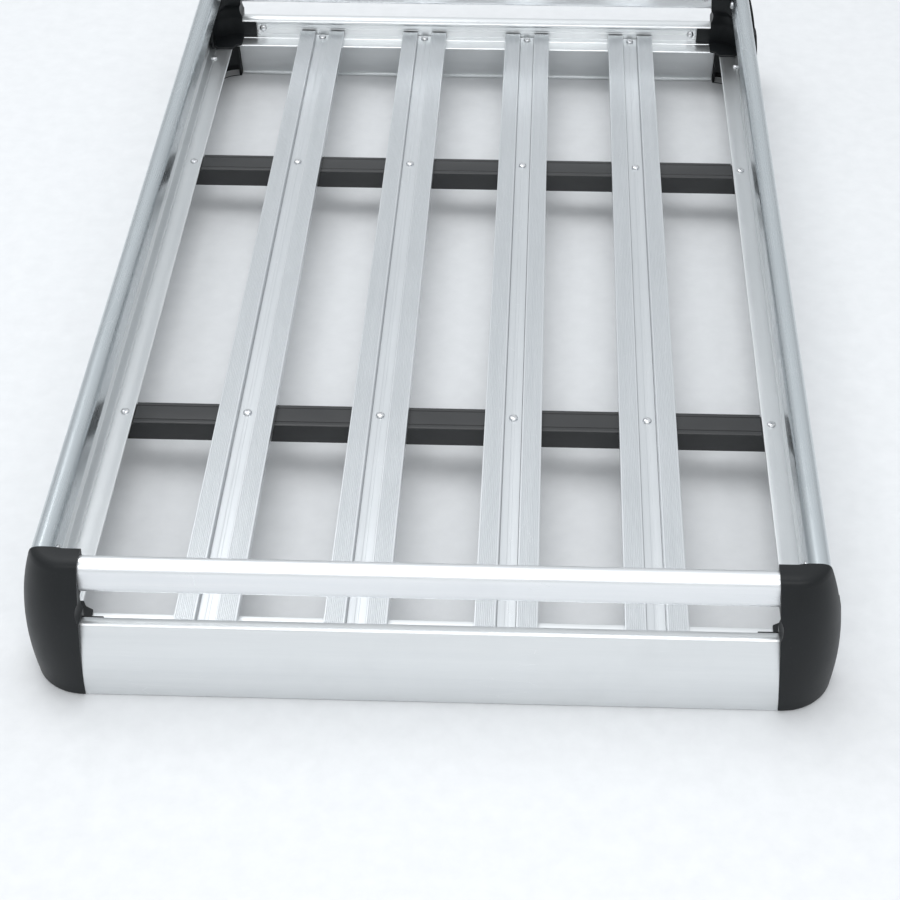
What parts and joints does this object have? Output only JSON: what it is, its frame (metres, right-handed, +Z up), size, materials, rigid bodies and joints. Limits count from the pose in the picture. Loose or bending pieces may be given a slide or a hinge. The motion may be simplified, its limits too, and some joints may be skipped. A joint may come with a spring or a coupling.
{
  "type": "roof cargo basket",
  "caption": "Open rectangular vehicle roof basket with aluminium rails, curved skirt panels, ribbed floor slats, crossbars and moulded corner caps.",
  "frame": {"origin": "middle of the basket's footprint, level with the lower edge of the skirt panels", "axes": "+X to the basket's right, +Y along its length towards the rear, +Z up"},
  "size_m": [0.9052, 1.3912, 0.1845],
  "materials": {
    "rail_aluminium": "satin anodised extrusion",
    "panel_aluminium": "satin anodised extrusion",
    "slat_aluminium": "mill-finish ribbed extrusion",
    "cap_plastic": "fine-textured moulded plastic",
    "crossbar_black": "black powder coat",
    "zinc_steel": "zinc plated"
  },
  "bodies": {
    "root": {"upper_rail_front": "rail_aluminium", "upper_rail_rear": "rail_aluminium", "upper_rail_left": "rail_aluminium", "upper_rail_right": "rail_aluminium", "lower_panel_front": "panel_aluminium", "lower_panel_rear": "panel_aluminium", "lower_panel_left": "panel_aluminium", "lower_panel_right": "panel_aluminium", "corner_cap_front_left": "cap_plastic", "corner_cap_front_right": "cap_plastic", "corner_cap_rear_left": "cap_plastic", "corner_cap_rear_right": "cap_plastic", "floor_slat_1": "slat_aluminium", "floor_slat_2": "slat_aluminium", "floor_slat_3": "slat_aluminium", "floor_slat_4": "slat_aluminium", "crossbar_front": "crossbar_black", "crossbar_rear": "crossbar_black", "slat_end_screws_front": "zinc_steel", "slat_end_screws_rear": "zinc_steel", "slat_end_nuts_front": "zinc_steel", "slat_end_nuts_rear": "zinc_steel", "slat_bar_screws_front": "zinc_steel", "slat_bar_screws_rear": "zinc_steel", "flange_bar_screws_left": "zinc_steel", "flange_bar_screws_right": "zinc_steel", "panel_cap_screws_front": "zinc_steel", "panel_cap_screws_rear": "zinc_steel", "flange_cap_screws_left": "zinc_steel", "flange_cap_screws_right": "zinc_steel", "rail_cap_screws_front": "zinc_steel", "rail_cap_screws_rear": "zinc_steel", "rail_cap_screws_left": "zinc_steel", "rail_cap_screws_right": "zinc_steel"}
  },
  "joints": []
}
